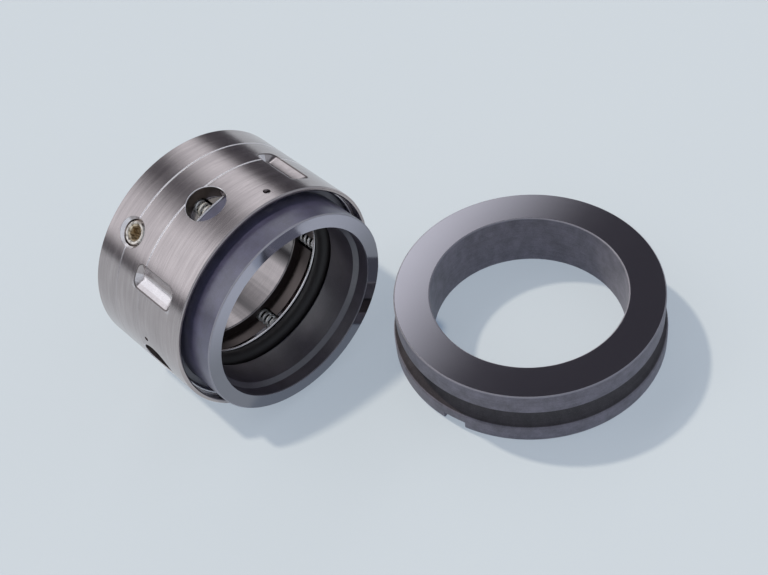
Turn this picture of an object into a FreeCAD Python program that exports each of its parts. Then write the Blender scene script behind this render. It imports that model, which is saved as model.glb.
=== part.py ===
import FreeCAD, Part
import math
import os

from FreeCAD import Vector

# A shaft seal in its two halves, as they lie on a table: the spring-loaded rotary unit on its side
# and the stationary seat ring flat beside it. Lengths are millimetres, angles are degrees.
#
# On the rotary unit a "depth" is measured from the sealing face towards the back, and a "radius" from
# the shaft's axis. An angle is 0 straight up and grows towards -Y. Each of its pieces is first made
# with that axis on X and the sealing face at X = 0, so that a depth is a distance along -X.

# Shaft, and the wall of the collar that sits on it
shaft_radius = 25.0
collar_wall = 12.0
collar_length = 23.6
back_chamfer = 0.8
bore_chamfer = 0.8

# Sleeve in front of the collar, turned from the same piece
sleeve_wall = 1.4
rim_depth = 9.1
rim_chamfer = 0.35

# Recess and spring pockets in the collar's front
recess_step = 3.0
recess_length = 5.1
shoulder_chamfer = 0.4
pocket_length = 9.2
pocket_side_gap = 0.7

# Two lines scribed round the collar; the second runs through the set screws
front_line_behind_sleeve = 2.9
scribed_line_width = 0.36
scribed_line_cut = 0.16

# Face ring: the nose with the sealing land, the shoulder, and the seat of the O-ring behind its lip
face_ring_length = 22.0
face_ring_side_gap = 0.35
face_ring_chamfer = 0.3
face_ring_float = 2.3
shoulder_height = 2.25
nose_bore_step = 1.3
nose_bore_end = 4.2
lip_clearance = 2.2
oring_seat_length = 6.3

# Thrust disc behind the face ring
disc_thickness = 0.8
disc_clearance = 1.0
disc_chamfer = 0.25
face_gap = 0.05

# O-ring on the shaft
shaft_gap = 0.15
oring_section = 5.0
oring_side_gap = 0.15

# Snap ring that stops the face ring in front, and the holes that it is pushed out through
snap_behind_rim = 4.2
snap_wire = 1.5
snap_groove_cut = 0.7
snap_groove_gap = 0.1
snap_opening_angle = 14.0
snap_opening_at = 211.0
push_hole_radius = 1.1
push_hole_at = -11.5
push_hole_count = 3

# Springs
spring_count = 6
spring_first_at = 11.0
spring_above_shaft = 5.0
spring_radius = 2.5
spring_wire = 0.85
spring_pitch = 2.0

# Drive dents pressed into the sleeve and the front of the collar
dent_count = 4
dent_first_at = 56.0
dent_behind_snap_ring = 0.65
dent_length = 16.8
dent_width = 7.8
dent_cut = 2.0
dent_floor_width = 1.8
dent_floor_crown = 0.25
dent_end_slope = 1.4
dent_corner_radius = 2.2
dent_wall = 1.0
dent_end_wall = 0.5
dent_clearance = 0.45

# Round windows through the sleeve and into the front of the collar
window_count = 4
window_first_at = 11.0
window_ahead_of_collar = 1.9
window_radius = 6.1
window_cut = 5.2

# Punched mark beside one window
mark_behind_window = 1.9
mark_at = 87.0
mark_radius = 0.75
mark_cut = 0.9

# Set screws
screw_count = 3
screw_first_at = 41.0
screw_from_back = 10.2
screw_radius = 3.95
screw_thread_gap = 0.05
screw_length = 10.0
screw_top_below_surface = 0.9
screw_chamfer = 0.6
screw_socket_flats = 4.0
screw_socket_cut = 4.2
screw_lead_in = 0.3
screw_tip_taper = 1.6
screw_cup_radius = 2.2
screw_cup_rim = 0.15
screw_cup_cut = 1.1
countersink_width = 1.0

# Seat ring
seat_bore_clearance = 5.7
seat_face_width = 11.4
seat_height = 19.75
seat_flange_thickness = 7.6
seat_foot_thickness = 6.3
seat_foot_step = 1.1
seat_edge = 0.35
seat_flange_edge = 0.3
seat_bore_edge = 0.5
groove_cut = 2.8
groove_lip = 1.0
groove_straight = 1.6
notch_width = 7.6
notch_height = 2.9
notch_cut = 5.0
notch_at = -80.0

# How far the seat's edge lies behind the sealing face, and across from the retainer's side
seat_reaches_back = 8.9
seat_reaches_across = 17.8

# Radii that follow from the sizes above
retainer_radius = shaft_radius + collar_wall
sleeve_radius = retainer_radius - sleeve_wall
face_ring_radius = sleeve_radius - face_ring_side_gap
nose_radius = face_ring_radius - shoulder_height
lip_radius = shaft_radius + lip_clearance
nose_bore_radius = lip_radius + nose_bore_step
oring_radius = shaft_radius + shaft_gap + oring_section / 2
oring_seat_radius = oring_radius + oring_section / 2 + oring_side_gap
disc_bore_radius = shaft_radius + disc_clearance
recess_radius = shaft_radius + recess_step
spring_circle_radius = shaft_radius + spring_above_shaft
pocket_radius = spring_radius + pocket_side_gap
dent_floor_radius = retainer_radius - dent_cut
dent_inner_radius = dent_floor_radius - dent_wall
drive_slot_radius = dent_inner_radius - dent_clearance
screw_hole_radius = screw_radius + screw_thread_gap
screw_top_radius = retainer_radius - screw_top_below_surface
seat_bore_radius = shaft_radius + seat_bore_clearance
seat_face_radius = seat_bore_radius + seat_face_width
seat_foot_radius = seat_face_radius + seat_foot_step
groove_radius = seat_face_radius - groove_cut

# Depths that follow from the sizes above
snap_depth = rim_depth + snap_behind_rim
shoulder_depth = snap_depth + snap_wire / 2 + face_gap
lip_depth = face_ring_length - oring_seat_length
oring_depth = face_ring_length - oring_section / 2
disc_front = face_ring_length + face_gap
disc_back = disc_front + disc_thickness
collar_depth = disc_back + face_gap + face_ring_float
recess_depth = collar_depth + recess_length
pocket_depth = collar_depth + pocket_length
back_depth = collar_depth + collar_length
spring_front = disc_back + face_gap
spring_back = pocket_depth - face_gap
window_depth = collar_depth - window_ahead_of_collar
dent_depth = snap_depth + snap_wire / 2 + dent_behind_snap_ring + dent_length / 2
mark_depth = window_depth + mark_behind_window
screw_depth = back_depth - screw_from_back
scribed_line_depths = (collar_depth + front_line_behind_sleeve, screw_depth)

# How far a cutting tool runs on past the piece, and how thin its least overlap is
beyond = 2.0
overlap = 0.01

# Where the seat lies: its axis, from the middle of the sealing face
seat_ahead = seat_foot_radius - seat_reaches_back
seat_aside = retainer_radius + seat_foot_radius - seat_reaches_across

# The whole set is centred over the origin and stands on Z = 0
nose_x = (back_depth - seat_ahead - seat_foot_radius) / 2
axis_y = (retainer_radius - seat_aside - seat_foot_radius) / 2
axis_z = retainer_radius
rotary_place = Vector(nose_x, axis_y, axis_z)
seat_place = Vector(nose_x + seat_ahead, axis_y + seat_aside, 0)

X = Vector(1, 0, 0)
Z = Vector(0, 0, 1)
ORIGIN = Vector(0, 0, 0)


def closed_face(path, place):
    """Face inside a closed path. A step that holds two points is an arc: through one, to the other."""
    start = here = place(*path[0])
    edges = []
    for step in path[1:]:
        if isinstance(step[0], tuple):
            through, end = place(*step[0]), place(*step[1])
            edges.append(Part.Arc(here, through, end).toShape())
        else:
            end = place(*step)
            edges.append(Part.makeLine(here, end))
        here = end
    if not here.isEqual(start, 1e-6):
        edges.append(Part.makeLine(here, start))
    return Part.Face(Part.Wire(edges))


def turned(path):
    """Solid of revolution about the shaft's axis, from a path of (depth, radius)."""
    section = closed_face(path, lambda depth, radius: Vector(-depth, 0, radius))
    return section.revolve(ORIGIN, X, 360)


def turned_upright(path):
    """Solid of revolution about Z, from a path of (radius, height)."""
    section = closed_face(path, lambda radius, height: Vector(radius, 0, height))
    return section.revolve(ORIGIN, Z, 360)


def at(shape, depth, angle):
    """Move a shape made over the origin to a depth, and turn it to an angle about the shaft's axis."""
    moved = shape.translated(Vector(-depth, 0, 0))
    moved.rotate(ORIGIN, X, angle)
    return moved


def around(shape, depth, first_at, count):
    """Copies of a shape, evenly spaced around the shaft's axis."""
    return [at(shape, depth, first_at + k * 360 / count) for k in range(count)]


def radial_cylinder(radius, low, high):
    return Part.makeCylinder(radius, high - low, Vector(0, 0, low), Z)


def trough(widen, lengthen, floor_radius, top_radius):
    """A dent's solid: sloped sides and ends over a narrow floor, in a rounded outline. It points up
    from floor_radius to top_radius. Its sides are moved out by widen and its ends by lengthen."""
    half_width = dent_width / 2 + widen
    half_length = dent_length / 2 + lengthen
    half_floor = dent_floor_width / 2
    rise = (top_radius - floor_radius) / (retainer_radius - dent_floor_radius)
    side_reach = half_floor + widen + (dent_width / 2 - half_floor) * rise
    end_reach = half_length - dent_end_slope + dent_end_slope * rise
    sides = [
        (-side_reach, top_radius),
        (side_reach, top_radius),
        (half_floor, floor_radius + dent_floor_crown),
        ((0, floor_radius), (-half_floor, floor_radius + dent_floor_crown)),
    ]
    ends = [
        (-end_reach, top_radius),
        (end_reach, top_radius),
        (half_length - dent_end_slope, floor_radius - overlap),
        (dent_end_slope - half_length, floor_radius - overlap),
    ]
    across = closed_face(sides, lambda y, z: Vector(-half_length - beyond, y, z))
    along = closed_face(ends, lambda x, z: Vector(x, -half_width - beyond, z))
    body = across.extrude(X * (2 * half_length + 2 * beyond))
    body = body.common(along.extrude(Vector(0, 2 * half_width + 2 * beyond, 0)))
    return body.common(rounded_prism(half_length, half_width, floor_radius - beyond, top_radius + beyond))


def rounded_prism(half_length, half_width, low, high):
    """Upright prism with rounded corners, longest along the shaft."""
    r = dent_corner_radius
    c = r * (1 - math.sqrt(0.5))
    a, b = half_length, half_width
    path = [
        (-a + r, -b),
        (a - r, -b),
        ((a - c, -b + c), (a, -b + r)),
        (a, b - r),
        ((a - c, b - c), (a - r, b)),
        (-a + r, b),
        ((-a + c, b - c), (-a, b - r)),
        (-a, -b + r),
        ((-a + c, -b + c), (-a + r, -b)),
    ]
    return closed_face(path, lambda x, y: Vector(x, y, low)).extrude(Z * (high - low))


def retainer_blank():
    """The turned retainer, before it is drilled and pressed."""
    groove_front = snap_depth - snap_wire / 2 - snap_groove_gap
    groove_back = snap_depth + snap_wire / 2 + snap_groove_gap
    outside = [(rim_depth, retainer_radius - rim_chamfer), (rim_depth + rim_chamfer, retainer_radius)]
    for line in scribed_line_depths:
        outside.append((line - scribed_line_width / 2, retainer_radius))
        outside.append((line, retainer_radius - scribed_line_cut))
        outside.append((line + scribed_line_width / 2, retainer_radius))
    outside.append((back_depth - back_chamfer, retainer_radius))
    outside.append((back_depth, retainer_radius - back_chamfer))
    inside = [
        (back_depth, shaft_radius + bore_chamfer),
        (back_depth - bore_chamfer, shaft_radius),
        (recess_depth + shoulder_chamfer, shaft_radius),
        (recess_depth, shaft_radius + shoulder_chamfer),
        (recess_depth, recess_radius),
        (collar_depth, recess_radius),
        (collar_depth, sleeve_radius),
        (groove_back, sleeve_radius),
        (groove_back, sleeve_radius + snap_groove_cut),
        (groove_front, sleeve_radius + snap_groove_cut),
        (groove_front, sleeve_radius),
        (rim_depth + rim_chamfer, sleeve_radius),
        (rim_depth, sleeve_radius + rim_chamfer),
    ]
    return turned(outside + inside)


def pocket_cutter():
    """Blind hole that a spring stands in, drilled from the front of the collar."""
    start = Vector(-collar_depth + beyond, 0, spring_circle_radius)
    return Part.makeCylinder(pocket_radius, pocket_depth - collar_depth + beyond, start, -X)


def screw_hole_cutter():
    """Tapped hole down to the bore, with a countersink that ends at the collar's surface."""
    hole = radial_cylinder(screw_hole_radius, shaft_radius - beyond, retainer_radius + beyond)
    cone = Part.makeCone(
        screw_hole_radius,
        screw_hole_radius + countersink_width + beyond,
        countersink_width + beyond,
        Vector(0, 0, retainer_radius - countersink_width),
        Z,
    )
    return hole.fuse(cone)


def retainer():
    body = retainer_blank()
    bulge = trough(dent_wall, dent_end_wall, dent_inner_radius, retainer_radius)
    bulges = around(bulge, dent_depth, dent_first_at, dent_count)
    sleeve_space = Part.makeCylinder(
        sleeve_radius + sleeve_wall / 2,
        collar_depth - rim_depth,
        Vector(-rim_depth, 0, 0),
        -X,
    )
    body = body.fuse([bulge.common(sleeve_space) for bulge in bulges])
    dent = trough(0, 0, dent_floor_radius, retainer_radius + dent_cut)
    cutters = around(dent, dent_depth, dent_first_at, dent_count)
    window = radial_cylinder(window_radius, retainer_radius - window_cut, retainer_radius + beyond)
    cutters += around(window, window_depth, window_first_at, window_count)
    cutters += around(screw_hole_cutter(), screw_depth, screw_first_at, screw_count)
    push_hole = radial_cylinder(push_hole_radius, sleeve_radius - beyond, retainer_radius + beyond)
    cutters += around(push_hole, snap_depth, push_hole_at, push_hole_count)
    cutters += around(pocket_cutter(), 0, spring_first_at, spring_count)
    mark = radial_cylinder(mark_radius, retainer_radius - mark_cut, retainer_radius + beyond)
    cutters.append(at(mark, mark_depth, mark_at))
    return body.cut(cutters)


def drive_slot(front, back):
    """Slot that clears a drive dent, from the outside down to the slot's floor."""
    width = dent_width + 2 * dent_wall + 2 * dent_clearance
    low = Vector(-back - beyond, -width / 2, drive_slot_radius)
    return Part.makeBox(back - front + 2 * beyond, width, retainer_radius - drive_slot_radius, low)


def face_ring():
    """Hard ring with the lapped sealing land; its shoulder is stopped by the snap ring."""
    c = face_ring_chamfer
    step = nose_bore_radius - lip_radius
    body = turned([
        (0, nose_bore_radius),
        (0, nose_radius - c),
        (c, nose_radius),
        (shoulder_depth, nose_radius),
        (shoulder_depth, face_ring_radius - c),
        (shoulder_depth + c, face_ring_radius),
        (face_ring_length - c, face_ring_radius),
        (face_ring_length, face_ring_radius - c),
        (face_ring_length, oring_seat_radius + c),
        (face_ring_length - c, oring_seat_radius),
        (lip_depth, oring_seat_radius),
        (lip_depth, lip_radius),
        (nose_bore_end + step, lip_radius),
        (nose_bore_end, nose_bore_radius),
    ])
    slot = drive_slot(shoulder_depth + beyond, face_ring_length)
    return body.cut(around(slot, 0, dent_first_at, dent_count))


def thrust_disc():
    """Flat ring between the springs and the face ring."""
    c = disc_chamfer
    body = turned([
        (disc_front, disc_bore_radius + c),
        (disc_front, face_ring_radius - c),
        (disc_front + c, face_ring_radius),
        (disc_back - c, face_ring_radius),
        (disc_back, face_ring_radius - c),
        (disc_back, disc_bore_radius + c),
        (disc_back - c, disc_bore_radius),
        (disc_front + c, disc_bore_radius),
    ])
    return body.cut(around(drive_slot(disc_front, disc_back), 0, dent_first_at, dent_count))


def shaft_oring():
    return Part.makeTorus(oring_radius, oring_section / 2, Vector(-oring_depth, 0, 0), X)


def snap_ring():
    """Round wire ring, open where its two ends meet."""
    middle = sleeve_radius + snap_groove_cut - snap_groove_gap - snap_wire / 2
    wire = Part.Wire(Part.makeCircle(snap_wire / 2, Vector(0, 0, middle), Vector(0, 1, 0)))
    ring = Part.Face(wire).revolve(ORIGIN, X, 360 - snap_opening_angle)
    return at(ring, snap_depth, snap_opening_at + snap_opening_angle / 2)


def spring():
    """Coil of six-sided wire, ground flat at both ends, standing on the pocket's axis."""
    length = spring_back - spring_front
    middle = spring_radius - spring_wire / 2
    path = Part.makeHelix(spring_pitch, length + 2 * spring_wire, middle)
    rise = spring_pitch / (2 * math.pi * middle)
    along = Vector(0, 1, rise).normalize()
    up = Vector(1, 0, 0).cross(along)
    corners = []
    for k in range(6):
        turn = math.radians(60 * k + 30)
        out = X * (math.cos(turn) * spring_wire / 2) + up * (math.sin(turn) * spring_wire / 2)
        corners.append(Vector(middle, 0, 0) + out)
    outline = Part.makePolygon(corners + corners[:1])
    coil = path.makePipeShell([outline], True, True)
    coil.translate(Vector(0, 0, -spring_wire))
    coil = coil.common(Part.makeCylinder(spring_radius + 1, length))
    coil.rotate(ORIGIN, Vector(0, 1, 0), 90)
    coil.translate(Vector(-spring_back, 0, spring_circle_radius))
    return coil


def set_screw():
    """Headless screw with a hexagon socket above and a cup point below, standing on the bore's axis."""
    top = screw_top_radius
    tip = top - screw_length
    body = turned_upright([
        (0, top),
        (screw_radius - screw_chamfer, top),
        (screw_radius, top - screw_chamfer),
        (screw_radius, tip + screw_tip_taper),
        (screw_cup_radius + screw_cup_rim, tip),
        (screw_cup_radius, tip),
        (0, tip + screw_cup_cut),
    ])
    corner = screw_socket_flats / math.sqrt(3)
    corners = []
    for k in range(6):
        turn = math.radians(60 * k)
        corners.append(Vector(corner * math.cos(turn), corner * math.sin(turn), top - screw_socket_cut))
    hexagon = Part.Face(Part.makePolygon(corners + corners[:1]))
    socket = hexagon.extrude(Z * (screw_socket_cut + beyond))
    low = corner - screw_lead_in
    rise = 2 * screw_lead_in
    lead_in = Part.makeCone(low, low + rise + beyond, rise + beyond, Vector(0, 0, top - rise), Z)
    return body.cut([socket, lead_in])


def seat_ring():
    """Stationary ring, face up: lapped flange above, open groove, and a foot with a pin notch."""
    flange_low = seat_height - seat_flange_thickness
    foot_edge = seat_foot_radius - groove_lip
    lip_drop = groove_lip * (1 - math.sqrt(0.5))
    bend_top = flange_low - groove_straight
    bend_width = foot_edge - groove_radius
    bend_drop = bend_top - seat_foot_thickness
    bend_radius = (bend_width ** 2 + bend_drop ** 2) / (2 * bend_width)
    half_turn = math.asin(bend_drop / bend_radius) / 2
    bend_middle = (
        groove_radius + bend_radius * (1 - math.cos(half_turn)),
        bend_top - bend_radius * math.sin(half_turn),
    )
    body = turned_upright([
        (seat_bore_radius, seat_bore_edge),
        (seat_bore_radius + seat_bore_edge, 0),
        (seat_foot_radius - seat_bore_edge, 0),
        (seat_foot_radius, seat_bore_edge),
        (seat_foot_radius, seat_foot_thickness - groove_lip),
        (
            (seat_foot_radius - lip_drop, seat_foot_thickness - lip_drop),
            (foot_edge, seat_foot_thickness),
        ),
        (bend_middle, (groove_radius, bend_top)),
        (groove_radius, flange_low),
        (seat_face_radius - seat_flange_edge, flange_low),
        (seat_face_radius, flange_low + seat_flange_edge),
        (seat_face_radius, seat_height - seat_edge),
        (seat_face_radius - seat_edge, seat_height),
        (seat_bore_radius + seat_edge, seat_height),
        (seat_bore_radius, seat_height - seat_edge),
    ])
    notch = Part.makeBox(
        notch_cut + beyond,
        notch_width,
        notch_height + beyond,
        Vector(seat_foot_radius - notch_cut, -notch_width / 2, -beyond),
    )
    notch.rotate(ORIGIN, Z, notch_at)
    return body.cut(notch)


def save(name, shape, place):
    shape = shape.translated(place)
    shape.exportStep("parts/" + name + ".step")
    print(name, len(shape.Solids), "solid,", round(shape.Volume, 1), "mm3, valid:", shape.isValid())


def main():
    os.makedirs("parts", exist_ok=True)
    save("retainer", retainer(), rotary_place)
    save("face_ring", face_ring(), rotary_place)
    save("thrust_disc", thrust_disc(), rotary_place)
    save("shaft_oring", shaft_oring(), rotary_place)
    save("snap_ring", snap_ring(), rotary_place)
    for k, coil in enumerate(around(spring(), 0, spring_first_at, spring_count)):
        save("spring_" + str(k + 1), coil, rotary_place)
    for k, screw in enumerate(around(set_screw(), screw_depth, screw_first_at, screw_count)):
        save("set_screw_" + str(k + 1), screw, rotary_place)
    save("seat_ring", seat_ring(), seat_place)


main()
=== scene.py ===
# %% [markdown]
# # Dressing a mechanical seal
# The two halves of a shaft seal lie on a pale table: a steel rotary unit on its side, with its hard
# face ring and springs, and a hard seat ring flat beside it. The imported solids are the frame. They
# hold every size and place, and this lesson gives each of them a finer mesh and its finish.

# %% Load the frame
import math

import bpy
from mathutils import Matrix, Vector


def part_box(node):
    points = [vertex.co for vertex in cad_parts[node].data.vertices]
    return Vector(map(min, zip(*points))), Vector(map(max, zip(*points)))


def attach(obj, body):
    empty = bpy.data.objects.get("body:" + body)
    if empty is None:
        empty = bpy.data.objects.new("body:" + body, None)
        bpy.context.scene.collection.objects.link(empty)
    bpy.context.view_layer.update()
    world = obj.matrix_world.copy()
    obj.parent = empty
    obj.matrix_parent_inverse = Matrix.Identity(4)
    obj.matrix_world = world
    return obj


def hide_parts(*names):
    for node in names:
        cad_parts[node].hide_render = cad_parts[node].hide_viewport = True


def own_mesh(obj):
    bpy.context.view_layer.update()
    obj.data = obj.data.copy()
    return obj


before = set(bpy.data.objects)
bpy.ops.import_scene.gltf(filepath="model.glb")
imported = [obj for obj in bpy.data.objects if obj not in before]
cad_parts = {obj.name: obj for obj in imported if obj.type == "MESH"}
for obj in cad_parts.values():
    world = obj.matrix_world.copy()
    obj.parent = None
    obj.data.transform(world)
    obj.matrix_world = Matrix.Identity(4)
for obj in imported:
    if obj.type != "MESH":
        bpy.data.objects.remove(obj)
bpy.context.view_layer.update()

# %% [markdown]
# Everything turned on the rotary unit shares the shaft's axis, so a place on it is a depth behind the
# sealing face, a radius and an angle. The seat ring has an upright axis of its own. Both axes are read
# from the frame's boxes, so the finer meshes land where the solids are without any fitting. Sizes are
# in millimetres, and mm turns them into Blender's metres.

# %% Places read from the frame
mm = 0.001
retainer_low, retainer_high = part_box("retainer")
seat_low, seat_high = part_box("seat_ring")
nose_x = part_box("face_ring")[1].x
axis_y = (retainer_low.y + retainer_high.y) / 2
axis_z = (retainer_low.z + retainer_high.z) / 2
retainer_radius = (retainer_high.z - retainer_low.z) / 2 / mm
back_depth = (nose_x - retainer_low.x) / mm
seat_axis = Vector(((seat_low.x + seat_high.x) / 2, (seat_low.y + seat_high.y) / 2, 0))
seat_foot_radius = (seat_high.x - seat_low.x) / 2 / mm
seat_height = seat_high.z / mm
shaft_point = Vector((nose_x, axis_y, axis_z))
shaft_way = Vector((1, 0, 0))
upright_way = Vector((0, 0, 1))
print("retainer radius", round(retainer_radius, 2), "length", round(back_depth, 2), "mm")
print("seat radius", round(seat_foot_radius, 2), "height", round(seat_height, 2), "mm")

# %% [markdown]
# A camera is set once, before any looks, because every finish is judged through it. The photograph
# looks down on the table at about 48 degrees, from in front of the unit and to its side, and the
# camera is held a little crooked, which the roll copies.

# %% Camera
camera_place = Vector((208.39, -171.91, 328.03)) * mm
camera_azimuth = 52.534
camera_elevation = 47.635
camera_roll = -8.859
camera_lens = 62.13
sensor_width = 36
nearest_seen = 0.01


def toward(azimuth, elevation):
    """Direction from the object to a viewer. Azimuth 0 is on the -Y side and 90 on the +X side."""
    a, e = math.radians(azimuth), math.radians(elevation)
    return Vector((math.sin(a) * math.cos(e), -math.cos(a) * math.cos(e), math.sin(e)))


camera = bpy.data.objects.new("camera", bpy.data.cameras.new("camera"))
bpy.context.scene.collection.objects.link(camera)
look = (-toward(camera_azimuth, camera_elevation)).to_track_quat("-Z", "Y").to_matrix().to_4x4()
roll = Matrix.Rotation(math.radians(camera_roll), 4, "Z")
camera.matrix_world = Matrix.Translation(camera_place) @ look @ roll
camera.data.lens = camera_lens
camera.data.sensor_width = sensor_width
camera.data.clip_start = nearest_seen
bpy.context.scene.camera = camera
print("camera", [round(v, 3) for v in camera_place], "lens", camera_lens)


# %% [markdown]
# Shader arithmetic reads best as arithmetic. A small class wraps one output of a node, and each
# operator adds the Math node that a hand would add. Colours have nodes of their own, because a Math
# node would turn them grey. One method adds any other node.

# %% Shader helpers
class Value:
    """One output of a shader node, which can be added to, multiplied and compared."""

    def __init__(self, finish, socket):
        self.finish = finish
        self.socket = socket

    def maths(self, operation, *others):
        values = dict(enumerate((self, *others)))
        return self.finish.add("ShaderNodeMath", values, operation=operation)

    def __add__(self, other):
        return self.maths("ADD", other)

    def __mul__(self, other):
        return self.maths("MULTIPLY", other)

    def __sub__(self, other):
        return self.maths("SUBTRACT", other)

    def __rsub__(self, other):
        return self.finish.add("ShaderNodeMath", {0: other, 1: self}, operation="SUBTRACT")

    def __gt__(self, other):
        return self.maths("GREATER_THAN", other)

    def __lt__(self, other):
        return self.maths("LESS_THAN", other)

    __radd__ = __add__
    __rmul__ = __mul__

    def above(self, start, end):
        """0 up to start, 1 from end, and a soft step between them."""
        sockets = {"Value": self, "From Min": start, "From Max": end}
        return self.finish.add("ShaderNodeMapRange", sockets, interpolation_type="SMOOTHSTEP")


class Finish:
    """A material, or the world, while its nodes are being added."""

    def __init__(self, name, owner=None):
        self.owner = owner or bpy.data.materials.new(name)
        self.owner.use_nodes = True
        self.nodes = self.owner.node_tree.nodes
        self.links = self.owner.node_tree.links
        self.shader = self.nodes.get("Principled BSDF") or self.nodes["Background"]

    def put(self, socket, value):
        """Links a value to a socket, or sets a number, a vector or a colour of three parts."""
        if isinstance(value, Value):
            self.links.new(value.socket, socket)
        elif socket.type == "RGBA":
            socket.default_value = (*value, 1)
        else:
            socket.default_value = value

    def add(self, kind, sockets, output=0, **settings):
        """Adds a node: its settings first, then the values or links of its sockets."""
        node = self.nodes.new(kind)
        for name, value in settings.items():
            setattr(node, name, value)
        for name, value in sockets.items():
            self.put(node.inputs[name], value)
        return Value(self, node.outputs[output])

    def set(self, **sockets):
        """Sets the shader's own sockets, each under its short name."""
        for name, value in sockets.items():
            self.put(self.shader.inputs[SHADER_SOCKETS[name]], value)

    def mix(self, amount, first, second):
        """Colour between first and second."""
        sockets = {0: amount, 6: first, 7: second}
        return self.add("ShaderNodeMix", sockets, output=2, data_type="RGBA")

    def tinted(self, colour, strength):
        """The same colour, lighter or darker."""
        sockets = {0: colour, "Scale": strength}
        return self.add("ShaderNodeVectorMath", sockets, operation="SCALE")

    def coordinates(self, kind="Object"):
        """x, y and z of the point on the object, or of the way that is looked in."""
        self.point = self.add("ShaderNodeTexCoord", {}, output=kind)
        return [self.add("ShaderNodeSeparateXYZ", {0: self.point}, output=axis) for axis in "XYZ"]

    def turned(self, centre, axis):
        """Place along an axis, distance from it, and cosine and sine of the turn about it."""
        x, y, z = (value - offset for value, offset in zip(self.coordinates(), centre))
        along, up, side = (x, z, 0 - y) if axis == "X" else (z, x, y)
        radius = (up * up + side * side).maths("SQRT")
        return along, radius, up.maths("DIVIDE", radius), side.maths("DIVIDE", radius)

    def vector(self, x, y, z):
        return self.add("ShaderNodeCombineXYZ", {0: x, 1: y, 2: z})

    def noise(self, vector, scale, detail=3.0, roughness=0.55, distortion=0.0, across=None):
        """Noise from 0 to 1, in four dimensions when a fourth coordinate is given."""
        sockets = {"Vector": vector, "Scale": scale, "Detail": detail, "Roughness": roughness}
        sockets["Distortion"] = distortion
        if across is None:
            return self.add("ShaderNodeTexNoise", sockets, output="Fac")
        sockets["W"] = across
        return self.add("ShaderNodeTexNoise", sockets, output="Fac", noise_dimensions="4D")

    def bump(self, height, strength, distance):
        sockets = {"Height": height, "Strength": strength, "Distance": distance}
        return self.add("ShaderNodeBump", sockets)


SHADER_SOCKETS = {
    "colour": "Base Color",
    "roughness": "Roughness",
    "metallic": "Metallic",
    "normal": "Normal",
    "ior": "IOR",
    "specular": "Specular IOR Level",
    "glow": "Emission Color",
    "glow_strength": "Emission Strength",
}
print("shader sockets by short name:", ", ".join(SHADER_SOCKETS))

# %% [markdown]
# A big bright panel on the left is what the polished faces and the brushed collar mirror. It has soft
# edges, a dark strip slanting over it and a dark gap above the table, which are the dark bands on the
# steel. All of it is one gradient on the world, and the right half of the sky is a weak fill. A pair
# of numbers is where a soft edge starts and ends, on a sphere of radius 1 round the object.

# %% Studio
panel_way = (0.969, 0.073, 0.235)
panel_edge = (-0.34, -0.22)
panel_far = (-0.615, -0.58)
panel_far_light = 0.62
strip_crossing = -0.63
strip_edge = (0.03, 0.50)
strip_end = (-0.622, -0.563)
gap_slope = 0.17
gap_edge = (0.21, 0.40)
panel_colour = (1.50, 1.56, 1.66)
dark_colour = (0.085, 0.083, 0.10)
fill_edge = (-0.25, 0.1)
fill_colour = (0.42, 0.46, 0.52)

world = bpy.data.worlds.new("studio")
bpy.context.scene.world = world
studio = Finish("studio", world)
sky_x, sky_y, sky_z = studio.coordinates("Generated")
along_panel = studio.add(
    "ShaderNodeVectorMath", {0: studio.point, 1: panel_way}, output="Value", operation="DOT_PRODUCT"
)
from_strip = (sky_x - strip_crossing + sky_y).maths("ABSOLUTE")
strip = (1 - from_strip.above(*strip_edge)) * (1 - sky_x.above(*strip_end))
panel = (1 - along_panel.above(*panel_edge)) * (1 - strip)
panel = panel * (sky_z - sky_y * gap_slope).above(*gap_edge)
panel = panel * (sky_x.above(*panel_far) * (1 - panel_far_light) + panel_far_light)
room = studio.mix(sky_x.above(*fill_edge), dark_colour, fill_colour)
studio.put(studio.shader.inputs["Color"], studio.mix(panel, room, panel_colour))
print("panel", panel_colour, "fill", fill_colour)

# %% [markdown]
# The table is a pale sheet. Its shadows are light and cool, even deep between the two rings, so a part
# of its brightness is its own glow, which no shadow takes away.

# %% Floor
floor_size = 3.0
floor_colour = (0.352, 0.357, 0.362)
floor_glow = (0.089, 0.141, 0.219)
floor_uneven = 0.985
floor_cloud_scale = 4.0

bpy.ops.mesh.primitive_plane_add(size=floor_size)
floor = bpy.context.object
floor.name = "floor"
paper = Finish("pale_table")
paper.coordinates()
paper_cloud = paper.noise(paper.point, floor_cloud_scale)
paper.set(
    colour=paper.mix(paper_cloud, floor_colour, [floor_uneven * part for part in floor_colour]),
    glow=paper.mix(paper_cloud, floor_glow, [floor_uneven * part for part in floor_glow]),
    glow_strength=1.0,
    roughness=0.9,
    specular=0.1,
)
floor.data.materials.append(paper.owner)
bpy.context.scene.view_settings.view_transform = "Standard"
print("table", floor_size, "m square")

# %% [markdown]
# Every turned piece starts as its section, drawn in the plane above the axis: a plane primitive is
# merged to one vertex, and the vertex is extruded from corner to corner. A spin about the axis then
# does what the lathe does. A cylinder with loops pushed in and out would do too, but a drawn section
# keeps each radius and depth readable.

# %% Draw a section and spin it
seam_gap = 0.002 * mm
ring_steps = 288


def alone(piece):
    """Selects one object and nothing else."""
    bpy.ops.object.select_all(action="DESELECT")
    piece.select_set(True)
    bpy.context.view_layer.objects.active = piece


def mode(name):
    """Edit mode or object mode, for the active object."""
    bpy.ops.object.mode_set(mode=name)


def whole_mesh():
    """Selects the whole mesh in edit mode."""
    bpy.ops.mesh.select_all(action="SELECT")


def settle():
    """Puts the object's place, turn and size into its mesh."""
    bpy.ops.object.transform_apply()


def extrude(step):
    """Extrudes what is selected."""
    bpy.ops.mesh.extrude_region_move(TRANSFORM_OT_translate={"value": step})


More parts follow.
